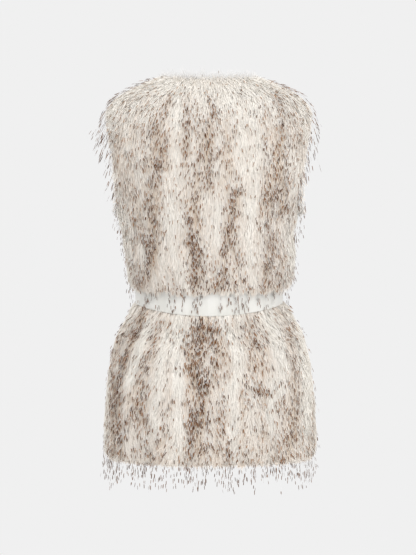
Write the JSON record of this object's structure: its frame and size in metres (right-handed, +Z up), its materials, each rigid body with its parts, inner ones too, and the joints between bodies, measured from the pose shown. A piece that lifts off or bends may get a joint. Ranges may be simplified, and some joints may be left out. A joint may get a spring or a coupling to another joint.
{
  "type": "faux fur vest",
  "caption": "Sleeveless, collarless vest of shaggy faux fur with a V neck in front, a skirt flaring from the waist and a wide plain belt, hollow and held as worn.",
  "frame": {"origin": "midway between the two points where the neck edge meets the shoulder seams, which is where the wearer's shoulders carry the vest", "axes": "+Z up, the wearer's front facing -Y, the wearer's left towards +X"},
  "size_m": [0.406, 0.2875, 0.7686],
  "materials": {
    "fur": "long shaggy pile, matt",
    "guard_hair": "long stiff hairs with brown tips",
    "belt_leather": "smooth, satin"
  },
  "bodies": {
    "root": {"back_panel": "fur", "front_panel_left": "fur", "front_panel_right": "fur", "waist_belt": "belt_leather", "hem_hair_back": "guard_hair", "hem_hair_left": "guard_hair", "hem_hair_right": "guard_hair", "waist_hair_back": "guard_hair", "waist_hair_left": "guard_hair", "waist_hair_right": "guard_hair", "armhole_hair_left": "guard_hair", "armhole_hair_right": "guard_hair", "neck_hair": "guard_hair"}
  },
  "joints": []
}
